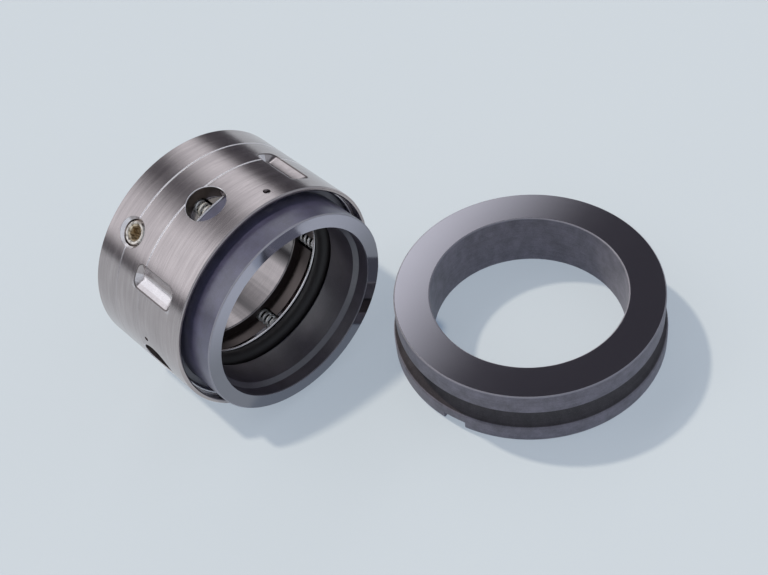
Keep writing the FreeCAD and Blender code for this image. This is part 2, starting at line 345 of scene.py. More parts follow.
def close_seams():
    """Merges vertices that lie on each other and points the faces outwards, in edit mode."""
    whole_mesh()
    bpy.ops.mesh.remove_doubles(threshold=seam_gap)
    bpy.ops.mesh.normals_make_consistent(inside=False)


def section(name, corners, closed=True):
    """An outline of edges through the corners, drawn by extruding one vertex."""
    bpy.ops.object.select_all(action="DESELECT")
    bpy.ops.mesh.primitive_plane_add(size=mm, location=corners[0])
    piece = bpy.context.object
    piece.name = name
    mode("EDIT")
    whole_mesh()
    bpy.ops.mesh.merge(type="CENTER")
    for here, there in zip(corners, corners[1:] + corners[: int(closed)]):
        extrude(there - here)
    whole_mesh()
    bpy.ops.mesh.remove_doubles(threshold=seam_gap)
    mode("OBJECT")
    return piece


def spin(piece, centre, axis, steps, angle=360.0):
    """Turns the outline about an axis and puts its place in its mesh."""
    alone(piece)
    mode("EDIT")
    whole_mesh()
    bpy.ops.mesh.spin(steps=steps, angle=math.radians(angle), center=centre, axis=axis)
    close_seams()
    mode("OBJECT")
    settle()


def modify(piece, kind, **settings):
    """Adds a modifier, sets it and applies it."""
    alone(piece)
    bpy.ops.object.modifier_add(type=kind)
    modifier = piece.modifiers[-1]
    for name, value in settings.items():
        setattr(modifier, name, value)
    bpy.ops.object.modifier_apply(modifier=modifier.name)


def round_edges(piece, width, sharp=25.0):
    """Breaks every edge that is sharper than an angle by a small radius."""
    modify(
        piece,
        "BEVEL",
        width=width * mm,
        segments=2,
        limit_method="ANGLE",
        angle_limit=math.radians(sharp),
        use_clamp_overlap=False,
        miter_outer="MITER_ARC",
    )


def on_shaft(depth, radius):
    """The point straight above the shaft's axis at a depth and a radius."""
    return Vector((nose_x - depth * mm, axis_y, axis_z + radius * mm))


def facts(piece):
    """Prints how many faces a finished piece has."""
    print(piece.name, len(piece.data.polygons), "faces")


print("a full turn has", ring_steps, "steps")

# %% [markdown]
# The retainer is one turned stainless part: a thin sleeve in front, a thick collar behind with the
# shaft's bore, a recess for the springs, a groove for the snap ring and two lines scribed round the
# outside. All of it is one outline, so one spin makes it. Its corners are broken by less than a tenth
# of a millimetre, as a lathe hand does with a file, and that is what catches the light.

# %% Turn the retainer
shaft_radius = 25.0
sleeve_wall = 1.4
sleeve_radius = retainer_radius - sleeve_wall
rim_depth = 9.1
collar_depth = 25.2
recess_radius = 28.0
recess_depth = 30.3
back_chamfer = 0.8
rim_chamfer = 0.35
shoulder_chamfer = 0.4
snap_depth = 13.3
snap_wire = 1.5
snap_gap = 0.1
groove_half = snap_wire / 2 + snap_gap
groove_cut = 0.7
groove_radius = sleeve_radius + groove_cut
screw_depth = 38.6
line_depths = (28.1, screw_depth)
line_half = 0.18
line_cut = 0.16
edge_break = 0.07

outline = [(rim_depth, retainer_radius - rim_chamfer), (rim_depth + rim_chamfer, retainer_radius)]
for line in line_depths:
    outline += [
        (line - line_half, retainer_radius),
        (line, retainer_radius - line_cut),
        (line + line_half, retainer_radius),
    ]
outline += [
    (back_depth - back_chamfer, retainer_radius),
    (back_depth, retainer_radius - back_chamfer),
    (back_depth, shaft_radius + back_chamfer),
    (back_depth - back_chamfer, shaft_radius),
    (recess_depth + shoulder_chamfer, shaft_radius),
    (recess_depth, shaft_radius + shoulder_chamfer),
    (recess_depth, recess_radius),
    (collar_depth, recess_radius),
    (collar_depth, sleeve_radius),
    (snap_depth + groove_half, sleeve_radius),
    (snap_depth + groove_half, groove_radius),
    (snap_depth - groove_half, groove_radius),
    (snap_depth - groove_half, sleeve_radius),
    (rim_depth + rim_chamfer, sleeve_radius),
    (rim_depth, sleeve_radius + rim_chamfer),
]
retainer = section("retainer_turned", [on_shaft(*corner) for corner in outline])
spin(retainer, shaft_point, shaft_way, ring_steps)
round_edges(retainer, edge_break)
facts(retainer)

# %% [markdown]
# Windows, dents and drilled holes break the round shape, so a spin can't make them. Each cutter is
# modelled once, straight above the axis, and copied round the shaft, and one boolean takes all the
# copies out, as the drill and the press do.

# %% Repeat and cut
past = 2.0


def smooth(piece, sharp=30.0):
    """Smooth shading that keeps corners crisp and flat faces flat."""
    alone(piece)
    bpy.ops.object.shade_smooth_by_angle(angle=math.radians(sharp))
    modify(piece, "WEIGHTED_NORMAL", keep_sharp=True, weight=50)


def cut(piece, cutter, operation="DIFFERENCE"):
    """Cuts the piece with a cutter, or joins them, and throws the cutter away."""
    modify(cutter, "TRIANGULATE")
    modify(piece, "BOOLEAN", object=cutter, operation=operation, solver="EXACT")
    bpy.data.objects.remove(cutter)
    modify(piece, "WELD", merge_threshold=seam_gap / 2)


def at_angle(angle):
    """Turn about the shaft's axis. An angle is 0 straight up and grows towards -Y."""
    there = Matrix.Translation(shaft_point)
    return there @ Matrix.Rotation(math.radians(angle), 4, "X") @ there.inverted()


def copies(piece, angles):
    """Turns copies of a piece about the shaft, each with a mesh of its own, and drops the piece."""
    made = []
    for angle in angles:
        twin = piece.copy()
        twin.data = piece.data.copy()
        twin.data.transform(at_angle(angle))
        bpy.context.scene.collection.objects.link(twin)
        made.append(twin)
    bpy.data.objects.remove(piece)
    return made


def joined(pieces):
    """Makes one object of several."""
    bpy.ops.object.select_all(action="DESELECT")
    for piece in pieces:
        piece.select_set(True)
    bpy.context.view_layer.objects.active = pieces[0]
    bpy.ops.object.join()
    return pieces[0]


def spaced(first, count):
    """Angles of features that are evenly spaced about the shaft."""
    return [first + k * 360 / count for k in range(count)]


def drill(radius, depth, low, high, vertices):
    """A drill that stands on the shaft's axis at a depth, from one radius up to another."""
    bpy.ops.object.select_all(action="DESELECT")
    middle = on_shaft(depth, (low + high) / 2)
    bpy.ops.mesh.primitive_cylinder_add(
        vertices=vertices, radius=radius * mm, depth=(high - low) * mm, location=middle
    )
    return bpy.context.object


def block(middle, length, width, height):
    """A block of a size in millimetres, placed by its middle."""
    bpy.ops.object.select_all(action="DESELECT")
    bpy.ops.mesh.primitive_cube_add(size=1, location=middle)
    bpy.ops.transform.resize(value=(length * mm, width * mm, height * mm))
    settle()
    return bpy.context.object


print("cutters reach", past, "mm past what they cut")

# %% [markdown]
# A hole in a round wall meets it in a saddle, so a plain cylinder as cutter would leave a knife edge.
# Each cutter is modelled with a flared rim, and the rim is then wrapped round the retainer: a vertex
# at a side distance y drops by what the cylinder's surface drops there. The cut edge comes out with
# an even chamfer all round, which the photograph shows as a thin bright line.

# %% Cutters for windows and dents
flare = 0.16
rim_radius = retainer_radius - flare
cutter_top = retainer_radius + 3.0
slack = 0.1


def select_between(piece, low, high):
    """Selects the vertices between two radii above the shaft, in edit mode."""
    bpy.ops.mesh.select_mode(type="VERT")
    bpy.ops.mesh.select_all(action="DESELECT")
    mode("OBJECT")
    for vertex in piece.data.vertices:
        height = ((piece.matrix_world @ vertex.co).z - axis_z) / mm
        vertex.select = low < height < high
    mode("EDIT")


def flared(piece, length, width):
    """Extrudes a cutter's top face out along a flare across the surface, and on above it."""
    select_between(piece, rim_radius - slack, cutter_top)
    extrude(Vector((0, 0, 2 * flare * mm)))
    bpy.ops.transform.resize(value=(1 + 2 * flare / length, 1 + 2 * flare / width, 1))
    extrude(Vector((0, 0, (cutter_top - retainer_radius - flare) * mm)))
    mode("OBJECT")
    settle()
    for vertex in piece.data.vertices:
        side = (vertex.co.y - axis_y) / mm
        if (vertex.co.z - axis_z) / mm > retainer_radius - 2 * flare:
            vertex.co.z -= (retainer_radius - math.sqrt(retainer_radius ** 2 - side ** 2)) * mm
    facts(piece)


window_radius = 6.1
window_depth = 23.3
window_cut = 5.2
window_floor = retainer_radius - window_cut
window_angles = spaced(11.0, 4)
window = drill(window_radius, window_depth, window_floor, rim_radius, 96)
mode("EDIT")
flared(window, window_radius, window_radius)

dent_length, dent_width = 16.8, 7.8
dent_floor_length, dent_floor_width = 14.0, 1.8
dent_depth = 23.1
dent_cut = 2.0
dent_corner = 2.2
dent_angles = spaced(56.0, 4)


def trough(wall, ends, floor, top):
    """A dent's outline, larger by a wall all round, whose floor is drawn in to a narrow strip."""
    length, width = dent_length + 2 * ends, dent_width + 2 * wall
    piece = block(on_shaft(dent_depth, (floor + top) / 2), length, width, top - floor)
    mode("EDIT")
    bpy.ops.mesh.select_mode(type="EDGE")
    bpy.ops.mesh.select_all(action="DESELECT")
    mode("OBJECT")
    for edge in piece.data.edges:
        ends_of_edge = [piece.data.vertices[index].co for index in edge.vertices]
        edge.select = abs(ends_of_edge[0].z - ends_of_edge[1].z) > mm / 2
    mode("EDIT")
    bpy.ops.mesh.bevel(offset=dent_corner * mm, segments=8, affect="EDGES")
    select_between(piece, floor - slack, floor + slack)
    floor_scale = ((dent_floor_length + 2 * ends) / length, (dent_floor_width + 2 * wall) / width, 1)
    bpy.ops.transform.resize(value=floor_scale)
    return piece


dent = trough(0, 0, retainer_radius - dent_cut, rim_radius)
flared(dent, dent_length, dent_width)

# %% [markdown]
# Behind each dent the sheet bulges inwards by its own thickness, and the bulge drives the face ring.
# The bulge is the same trough a little larger, joined to the sleeve before the dent is cut into it.

# %% Press the dents and cut the windows
dent_wall = 1.0
dent_wall_at_ends = 0.5
sleeve_middle = sleeve_radius + sleeve_wall / 2

bulge = trough(dent_wall, dent_wall_at_ends, retainer_radius - dent_cut - dent_wall, sleeve_middle)
mode("OBJECT")
settle()
cut(retainer, joined(copies(bulge, dent_angles)), "UNION")
cut(retainer, joined(copies(dent, dent_angles)))
cut(retainer, joined(copies(window, window_angles)))
facts(retainer)

# %% [markdown]
# The rest is drilling: six flat-bottomed pockets that the springs stand in, three tapped holes with a
# countersink for the set screws, three small holes to push the snap ring out and one punched mark.

# %% Drill the retainer
spring_circle = 30.0
spring_angles = spaced(11.0, 6)
pocket_radius = 3.2
pocket_depth = 34.4
screw_angles = spaced(41.0, 3)
screw_hole = 4.0
sink_width = 1.0
push_angles = spaced(-11.5, 3)
push_radius = 1.1
mark_depth, mark_angle, mark_radius, mark_cut = 25.2, 87.0, 0.75, 0.9

pocket = drill(pocket_radius, 0, 0, pocket_depth - collar_depth + past, 48)
lying = Matrix.Rotation(math.radians(90), 4, "Y")
pocket_middle = on_shaft((pocket_depth + collar_depth - past) / 2, spring_circle)
pocket.matrix_world = Matrix.Translation(pocket_middle) @ lying
settle()
cut(retainer, joined(copies(pocket, spring_angles)))

tap = drill(screw_hole, screw_depth, shaft_radius - past, retainer_radius - sink_width, 64)
mode("EDIT")
select_between(tap, retainer_radius - sink_width - slack, cutter_top)
sink_rise = sink_width + past
extrude(Vector((0, 0, sink_rise * mm)))
sink_scale = (screw_hole + sink_rise) / screw_hole
bpy.ops.transform.resize(value=(sink_scale, sink_scale, 1))
mode("OBJECT")
settle()
cut(retainer, joined(copies(tap, screw_angles)))

push_hole = drill(push_radius, snap_depth, sleeve_radius - past, retainer_radius + past, 32)
settle()
small_holes = copies(push_hole, push_angles)
mark = drill(mark_radius, mark_depth, retainer_radius - mark_cut, retainer_radius + past, 24)
settle()
small_holes += copies(mark, [mark_angle])
cut(retainer, joined(small_holes))
smooth(retainer)
facts(retainer)

# %% [markdown]
# The face ring is the hard half that the springs push forward. Its nose carries the lapped sealing
# face, its shoulder stops at the snap ring, and four slots behind the shoulder clear the dents. The
# slots start ahead of the shoulder, because a cut that ends in the same plane leaves a skin there.

# %% Turn the face ring
ring_play = 0.35
face_ring_radius = sleeve_radius - ring_play
nose_radius = 33.0
nose_bore_radius = 28.5
nose_bore_end = 4.2
lip_radius = 27.2
lip_depth = 15.7
shoulder_depth = 14.1
face_ring_length = 22.0
oring_seat_radius = 30.3
ring_chamfer = 0.3
slot_floor = 33.55
slot_play = 0.45
slot_width = dent_width + 2 * dent_wall + 2 * slot_play
slot_edge = 0.25
nose_step = nose_bore_radius - lip_radius

outline = [
    (0, nose_bore_radius),
    (0, nose_radius - ring_chamfer),
    (ring_chamfer, nose_radius),
    (shoulder_depth, nose_radius),
    (shoulder_depth, face_ring_radius - ring_chamfer),
    (shoulder_depth + ring_chamfer, face_ring_radius),
    (face_ring_length - ring_chamfer, face_ring_radius),
    (face_ring_length, face_ring_radius - ring_chamfer),
    (face_ring_length, oring_seat_radius + ring_chamfer),
    (face_ring_length - ring_chamfer, oring_seat_radius),
    (lip_depth, oring_seat_radius),
    (lip_depth, lip_radius),
    (nose_bore_end + nose_step, lip_radius),
    (nose_bore_end, nose_bore_radius),
]
face_ring = section("face_ring_lapped", [on_shaft(*corner) for corner in outline])
spin(face_ring, shaft_point, shaft_way, ring_steps)
round_edges(face_ring, edge_break)


def slots(front, back):
    """Four blocks that clear the drive dents between two depths."""
    middle = on_shaft((front + back) / 2, (slot_floor + retainer_radius) / 2)
    piece = block(middle, back - front, slot_width, retainer_radius - slot_floor)
    round_edges(piece, slot_edge)
    return joined(copies(piece, dent_angles))


cut(face_ring, slots(shoulder_depth - past, face_ring_length + past))
smooth(face_ring)
facts(face_ring)

# %% [markdown]
# Behind the face ring lies the thrust disc, a flat steel ring that spreads the springs' push. It is
# turned as the others are, and it has the same four slots, so the same blocks cut them.

# %% Turn the thrust disc
stack_gap = 0.05
disc_front = face_ring_length + stack_gap
disc_thickness = 0.8
disc_back = disc_front + disc_thickness
disc_bore_radius = 26.0
disc_chamfer = 0.25
disc_edge_break = 0.04

outline = [
    (disc_front, disc_bore_radius + disc_chamfer),
    (disc_front, face_ring_radius - disc_chamfer),
    (disc_front + disc_chamfer, face_ring_radius),
    (disc_back - disc_chamfer, face_ring_radius),
    (disc_back, face_ring_radius - disc_chamfer),
    (disc_back, disc_bore_radius + disc_chamfer),
    (disc_back - disc_chamfer, disc_bore_radius),
    (disc_front + disc_chamfer, disc_bore_radius),
]
thrust_disc = section("thrust_disc_turned", [on_shaft(*corner) for corner in outline])
spin(thrust_disc, shaft_point, shaft_way, ring_steps)
round_edges(thrust_disc, disc_edge_break)
cut(thrust_disc, slots(disc_front - past, disc_back + past))
smooth(thrust_disc)
facts(thrust_disc)

# %% [markdown]
# The O-ring is moulded in two halves, which leaves a hair of flash along its inner and outer rim. A
# torus gives the round section, and the two rim loops are drawn out a few hundredths for the flash.

# %% Mould the shaft O-ring
oring_section = 5.0
oring_gap = 0.15
oring_radius = shaft_radius + oring_gap + oring_section / 2
oring_depth = face_ring_length - oring_section / 2
flash = 0.04

bpy.ops.object.select_all(action="DESELECT")
bpy.ops.mesh.primitive_torus_add(
    major_segments=240,
    minor_segments=40,
    major_radius=oring_radius * mm,
    minor_radius=oring_section / 2 * mm,
    location=on_shaft(oring_depth, 0),
    rotation=(0, math.radians(90), 0),
)
oring = bpy.context.object
oring.name = "shaft_oring_moulded"
settle()
rim_x = on_shaft(oring_depth, 0).x
for vertex in oring.data.vertices:
    out = Vector((0, vertex.co.y - axis_y, vertex.co.z - axis_z))
    if abs(vertex.co.x - rim_x) < seam_gap:
        way = 1 if out.length > oring_radius * mm else -1
        vertex.co += out.normalized() * way * flash * mm
smooth(oring, 60.0)
facts(oring)

# %% [markdown]
# The snap ring is round spring wire bent to a circle, with its two ends left apart. Spinning a filled
# circle through less than a full turn leaves both flat ends in place.

# %% Bend the snap ring
snap_middle = groove_radius - snap_gap - snap_wire / 2
snap_opening = 14.0
snap_opening_at = 211.0
snap_end_break = 0.12

bpy.ops.object.select_all(action="DESELECT")
bpy.ops.mesh.primitive_circle_add(
    vertices=24,
    radius=snap_wire / 2 * mm,
    fill_type="NGON",
    location=on_shaft(snap_depth, snap_middle),
    rotation=(math.radians(90), 0, 0),
)
snap_ring = bpy.context.object
spin(snap_ring, shaft_point, shaft_way, 220, 360 - snap_opening)
snap_ring.data.transform(at_angle(snap_opening_at + snap_opening / 2))
round_edges(snap_ring, snap_end_break, 60.0)
snap_ring.name = "snap_ring_bent"
smooth(snap_ring, 40.0)
facts(snap_ring)

# %% [markdown]
# A compression spring has closed ends: the last turn at each end lies against the next and is ground
# flat to stand square. The wire's centre line is a helix whose pitch changes, which a curve follows
# best. The curve's round bevel makes the wire, and one boolean with a block grinds both ends flat.

# %% Coil the springs
spring_radius = 2.5
spring_wire = 0.85
spring_front = disc_back + stack_gap
spring_back = pocket_depth - stack_gap
spring_length = spring_back - spring_front
open_turns = 5.5
closed_turns = 1.0
closed_pitch = spring_wire * 1.02
ground_off = 0.13
points_per_turn = 20


def coil_height(turn, turns):
    """How far the wire's middle has climbed after some turns, with close turns at both ends."""
    close = closed_turns * closed_pitch - ground_off
    pitch = (spring_length - 2 * close) / (turns - 2 * closed_turns)
    if turn < closed_turns:
        return turn * closed_pitch - ground_off
    if turn > turns - closed_turns:
        return spring_length + ground_off - (turns - turn) * closed_pitch
    return close + (turn - closed_turns) * pitch


def coil():
    """One spring, standing in the pocket straight above the shaft."""
    turns = open_turns + 2 * closed_turns
    reach = (spring_radius - spring_wire / 2) * mm
    curve = bpy.data.curves.new("coil", "CURVE")
    curve.dimensions = "3D"
    line = curve.splines.new("NURBS")
    line.points.add(int(turns * points_per_turn))
    for k, point in enumerate(line.points):
        turn = k / points_per_turn
        angle = 2 * math.pi * turn
        foot = on_shaft(spring_back - coil_height(turn, turns), spring_circle)
        point.co = (*(foot + Vector((0, math.cos(angle), math.sin(angle))) * reach), 1)
    line.order_u = 4
    line.use_endpoint_u = True
    curve.resolution_u = 2
    curve.bevel_depth = spring_wire / 2 * mm
    curve.bevel_resolution = 3
    curve.use_fill_caps = True
    piece = bpy.data.objects.new("coil", curve)
    bpy.context.scene.collection.objects.link(piece)
    alone(piece)
    bpy.ops.object.convert(target="MESH")
    piece = bpy.context.object
    mode("EDIT")
    close_seams()
    mode("OBJECT")
    middle = on_shaft((spring_front + spring_back) / 2, spring_circle)
    kept = block(middle, spring_length, 4 * spring_radius, 4 * spring_radius)
    cut(piece, kept, "INTERSECT")
    smooth(piece, 50.0)
    return piece


coils = copies(coil(), spring_angles)
for number, piece in enumerate(coils):
    piece.name = "spring_coil_" + str(number + 1)
facts(coils[0])

# %% [markdown]
# A headless set screw is threaded along its whole length, with a hexagon socket above and a cup point
# below that bites into the shaft. The screw operator turns one tooth of the thread down the body, and
# two bisect cuts trim it. What is left inside a turned blank has the chamfers and the cup, and two
# more cuts open the socket and its countersunk mouth.

# %% Thread the set screws
screw_radius = 3.95
screw_length = 10.0
screw_sunk = 0.9
screw_top = retainer_radius - screw_sunk
screw_tip = screw_top - screw_length
screw_foot = on_shaft(screw_depth, 0)
screw_steps = 48
thread_pitch = 1.25
thread_cut = 0.62
thread_crest = 0.16
spare_turns = 4
bar_over = 0.7
blank_radius = screw_radius + 0.02
blank_steps = 50
screw_chamfer = 0.6
cup_radius = 2.2
cup_rim = 0.15
cup_cut = 1.1
tip_taper = 1.6
socket_flats = 4.0
socket_cut = 4.2
socket_mouth = 2.75
mouth_cut = 0.7
mouth_over = 1.0


def beside_screw(radius, side):
    """A point of the screw's section, at a radius above the shaft and a distance aside."""
    return on_shaft(screw_depth, radius) + Vector((side * mm, 0, 0))


def lathe(name, corners):
    """A solid turned about the screw's axis from an open outline that starts and ends on it."""
    piece = section(name, [beside_screw(*corner) for corner in corners], closed=False)
    spin(piece, screw_foot, upright_way, blank_steps)
    return piece


def thread():
    """A threaded bar somewhat longer than the screw."""
    start = screw_top + thread_pitch
    crest = start + thread_pitch / 2
    tooth = [
        (start, screw_radius - thread_cut),
        (crest - thread_crest / 2, screw_radius),
        (crest + thread_crest / 2, screw_radius),
        (start + thread_pitch, screw_radius - thread_cut),
    ]
    bar = section("set_screw", [beside_screw(*corner) for corner in tooth], closed=False)
    turns = int(screw_length / thread_pitch) + spare_turns
    mode("EDIT")
    whole_mesh()
    bpy.ops.mesh.screw(steps=screw_steps, turns=turns, center=screw_foot, axis=-upright_way)
    whole_mesh()
    bpy.ops.mesh.remove_doubles(threshold=seam_gap)
    for radius, way in ((screw_top + bar_over, 1), (screw_tip - bar_over, -1)):
        end = on_shaft(screw_depth, radius)
        whole_mesh()
        bpy.ops.mesh.bisect(plane_co=end, plane_no=(0, 0, way), use_fill=True, clear_outer=True)
    whole_mesh()
    bpy.ops.mesh.normals_make_consistent(inside=False)
    mode("OBJECT")
    settle()
    return bar


def set_screw():
    """One screw standing straight above the shaft."""
    body = thread()
    blank = [
        (screw_tip + cup_cut, 0),
        (screw_tip, cup_radius),
        (screw_tip, cup_radius + cup_rim),
        (screw_tip + tip_taper, blank_radius),
        (screw_top - screw_chamfer, blank_radius),
        (screw_top, blank_radius - screw_chamfer),
        (screw_top, 0),
    ]
    cut(body, lathe("blank", blank), "INTERSECT")
    mouth = [
        (screw_top + mouth_over, 0),
        (screw_top + mouth_over, socket_mouth + mouth_over),
        (screw_top - mouth_cut, socket_mouth - mouth_cut),
        (screw_top - mouth_cut, 0),
    ]
    cut(body, lathe("countersink", mouth))
    socket = drill(socket_flats / math.sqrt(3), screw_depth, screw_top - socket_cut, screw_top + past, 6)
    settle()
    cut(body, socket)
    smooth(body)
    return body


screws = copies(set_screw(), screw_angles)
for number, piece in enumerate(screws):
    piece.name = "set_screw_threaded_" + str(number + 1)
facts(screws[0])

# %% [markdown]
# The seat ring lies face up. Its section has the lapped face on top, a flange, a groove whose wall
# runs down straight and then bends out to the foot on one radius, and a rounded lip on the foot. A
# notch in the foot takes the pin that keeps the seat from turning.

# %% Turn the seat ring
seat_bore_radius = 30.7
seat_face_radius = 42.1
flange_height = 7.6
flange_low = seat_height - flange_height
foot_top = 6.3
groove_wall = 39.3
groove_lip = 1.0
groove_straight = 1.6
seat_edge = 0.35
flange_edge = 0.3
bore_edge = 0.5
bend_steps = 8


def bend():
    """Corners along the groove's bend, from the foot's lip up to the straight wall."""
    width = seat_foot_radius - groove_lip - groove_wall
    drop = flange_low - groove_straight - foot_top
    radius = (width ** 2 + drop ** 2) / (2 * width)
    corners = []
    for step in range(bend_steps + 1):
        angle = math.asin(drop / radius) * (1 - step / bend_steps)
        out = groove_wall + radius * (1 - math.cos(angle))
        corners.append((out, foot_top + drop - radius * math.sin(angle)))
    return corners


def lip():
    """Corners round the foot's upper edge."""
    corners = []
    for step in range(bend_steps):
        angle = math.radians(90) * step / bend_steps
        out = seat_foot_radius - groove_lip * (1 - math.cos(angle))
        corners.append((out, foot_top - groove_lip * (1 - math.sin(angle))))
    return corners


outline = [
    (seat_bore_radius, bore_edge),
    (seat_bore_radius + bore_edge, 0),
    (seat_foot_radius - bore_edge, 0),
    (seat_foot_radius, bore_edge),
    *lip(),
    *bend(),
    (groove_wall, flange_low),
    (seat_face_radius - flange_edge, flange_low),
    (seat_face_radius, flange_low + flange_edge),
    (seat_face_radius, seat_height - seat_edge),
    (seat_face_radius - seat_edge, seat_height),
    (seat_bore_radius + seat_edge, seat_height),
    (seat_bore_radius, seat_height - seat_edge),
]
corners = [seat_axis + Vector((radius * mm, 0, height * mm)) for radius, height in outline]
seat_ring = section("seat_ring_lapped", corners)
spin(seat_ring, seat_axis, upright_way, ring_steps)
round_edges(seat_ring, edge_break)

notch_width, notch_height, notch_cut, notch_at = 7.6, 2.9, 5.0, -80.0
notch_edge = 0.3
notch_middle = Vector((seat_foot_radius + (past - notch_cut) / 2, 0, (notch_height - past) / 2)) * mm
notch = block(notch_middle, notch_cut + past, notch_width, notch_height + past)
round_edges(notch, notch_edge)
notch_turn = Matrix.Rotation(math.radians(notch_at), 4, "Z")
notch.data.transform(Matrix.Translation(seat_axis) @ notch_turn)
cut(seat_ring, notch)
smooth(seat_ring)
facts(seat_ring)

# %% [markdown]
# Turned metal carries its tool marks: fine rings round the axis, on the outside, in the bore and on
# the end faces alike. Noise that is stretched round the axis and squeezed along it and across it
# gives all three at once, and its fourth dimension keeps it free of a seam.

# %% Turned and drawn steel
tool_mark = 0.002 * mm
contrast = (0.3, 0.7)


def rings(finish, turned, pitch, stretch):
    """Noise in rings round an axis, of a pitch in millimetres."""
    along, radius, cosine, sine = turned
    scale = 1 / (pitch * mm)
    vector = finish.vector(along * scale, cosine * stretch, sine * stretch)
    return finish.noise(vector, 1.0, 2.0, across=radius * scale)


def grain(metal, pitch):
    """Tone, gloss and relief of turned steel, each from 0 to 1, and its place round the shaft."""
    turned = metal.turned(shaft_point, "X")
    fine = rings(metal, turned, pitch, 5.0)
    broad = rings(metal, turned, 7 * pitch, 2.2)
    cloud = metal.noise(metal.point, 70.0, 4.0)
    smear = metal.noise(metal.point, 260.0, 3.0, 0.6, 0.4)
    tone = (fine * 0.4 + broad * 0.3 + cloud * 0.3).above(*contrast)
    return tone, fine * 0.5 + broad * 0.25 + smear * 0.25, fine * 0.6 + broad * 0.4, turned


def steel(name, light, dark, metallic, spread, pitch):
    """Plain turned or drawn steel, whose roughness spreads about 0.2."""
    metal = Finish(name)
    tone, gloss, relief, turned = grain(metal, pitch)
    metal.set(
        colour=metal.mix(tone, dark, light),
        metallic=metallic,
        roughness=gloss * spread + (0.2 - spread / 2),
        normal=metal.bump(relief, 0.5, tool_mark),
    )
    return metal


bright = steel("bright_steel", (0.80, 0.77, 0.78), (0.66, 0.63, 0.64), 1.0, 0.1, 0.16)
wire = steel("spring_steel", (0.98, 0.95, 0.92), (0.88, 0.85, 0.82), 0.5, 0.06, 0.12)
print("steel", bright.owner.name, wire.owner.name)

# %% [markdown]
# On the retainer the finish changes from place to place, and a mask says where each one is. Features
# that repeat round the shaft are found with one angle, folded over so that all of them fall on the
# first. It could be painted or given several materials, but masks follow the sizes that cut the shape.

# %% Find the retainer's features
def folded(turned, angles):
    """Distance sideways from the nearest of some evenly spaced features round the shaft."""
    along, reach, cosine, sine = turned
    first, half_gap = angles[0], 180 / len(angles)
    angle = sine.maths("ARCTAN2", cosine) * (180 / math.pi)
    angle = angle.maths("WRAP", first + half_gap, first - half_gap) - first
    return (angle * (math.pi / 180)).maths("SINE") * reach


def span(value, low, high):
    """1 between two sizes in millimetres and 0 outside them."""
    return (value > low * mm) * (value < high * mm)


def away(side, along):
    """Distance from a feature's middle."""
    return (side * side + along * along).maths("SQRT")


rim_reach = 0.35
margin = 0.1


def rim(reach, top):
    """The flared rims, from their foot up to a little below the retainer's surface."""
    return span(reach, retainer_radius - rim_reach, retainer_radius - top)


brushed = Finish("brushed_steel")
tone, gloss, relief, turned = grain(brushed, 0.18)
reach = turned[1]
behind = 0 - turned[0]
below_skin = reach < (retainer_radius - 0.06) * mm

dent_side = folded(turned, dent_angles)
dent_half_width, dent_half_length = dent_width / 2 + 0.2, dent_length / 2 + 0.2
in_dent = span(dent_side, -dent_half_width, dent_half_width)
in_dent = in_dent * span(behind, dent_depth - dent_half_length, dent_depth + dent_half_length)
in_dent = in_dent * (reach > (retainer_radius - dent_cut - 0.2) * mm)
dent_rim = in_dent * rim(reach, 0.03)
# Painted highlight: the lower slope of each dent, and more faintly the rest of that side.
slope = in_dent * span(dent_side, -0.2, 2.4) * below_skin * 0.6 + in_dent * (dent_side > 2.4 * mm) * 0.28

screw_side = folded(turned, screw_angles)
behind_screw = behind - screw_depth * mm
# Painted highlight: only one side of each countersink is kept for it.
sink = span(away(screw_side, behind_screw), screw_hole + 0.05, screw_hole + sink_width + 0.4)
sink = sink * (behind_screw + screw_side).above(0, 2 * mm) * below_skin * (reach > shaft_radius * mm)

window_side = folded(turned, window_angles)
from_window = away(window_side, behind - window_depth * mm)
window_height = (reach * reach - window_side * window_side).maths("SQRT")
in_window = (from_window < (window_radius + 0.3) * mm) * (window_height > (window_floor - margin) * mm)
# Painted highlight on the window rims and floors.
window_rim = in_window * rim(reach, 0.02)
milled = in_window * (window_height < (window_floor + margin / 2) * mm)
window_wall = in_window * (reach < (retainer_radius - rim_reach) * mm) * (1 - milled)

scribed = 0
for line in line_depths:
    scribed = scribed + span(behind, line - line_half - margin, line + line_half + margin)
# Painted highlight on the scribed lines, fading where the surface faces -Y.
scribed = scribed * (reach > (retainer_radius - 0.3) * mm) * (1 - turned[3].above(0.62, 0.84) * 0.85)

pocket_side = folded(turned, spring_angles)
from_pocket = away(pocket_side, reach - spring_circle * mm)
inside = (reach < (recess_radius + margin) * mm) * (behind < (recess_depth + margin) * mm)
in_pocket = (from_pocket < (pocket_radius + margin) * mm) * (behind < (pocket_depth + margin) * mm)
# Painted shade: the recess, the spring pockets, the window walls and the dent rims are darkened.
inside = (inside + in_pocket + window_wall + dent_rim * 0.8).maths("MINIMUM", 1.0) * (1 - milled)
# The bore, which gets a painted dark reflection in patches.
bore = (reach < (shaft_radius + 0.3) * mm) * (1 - inside)
print("the retainer's finish has", len(brushed.nodes), "nodes so far")

# %% [markdown]
# The retainer's outside is brushed. A painted highlight makes the scribed lines, the lower slopes of
# the dents, the rims and floors of the windows and one side of the screws' countersinks pale. Painted
# shade darkens the recess, the spring pockets, the window walls and the dent rims to a dull brown, and
# the bore has a painted reflection of a darker room in patches.

# %% Retainer finish
# Painted highlight: pale, less metallic colour on the places found above.
painted_highlight = (slope + sink + milled * 0.6 + window_rim * 0.9 + scribed).maths("MINIMUM", 1.0)
bore_point = brushed.vector(0.0, turned[2] * 3.0, turned[3] * 3.0)
painted_reflection_patches = brushed.noise(bore_point, 1.0).above(0.35, 0.65)

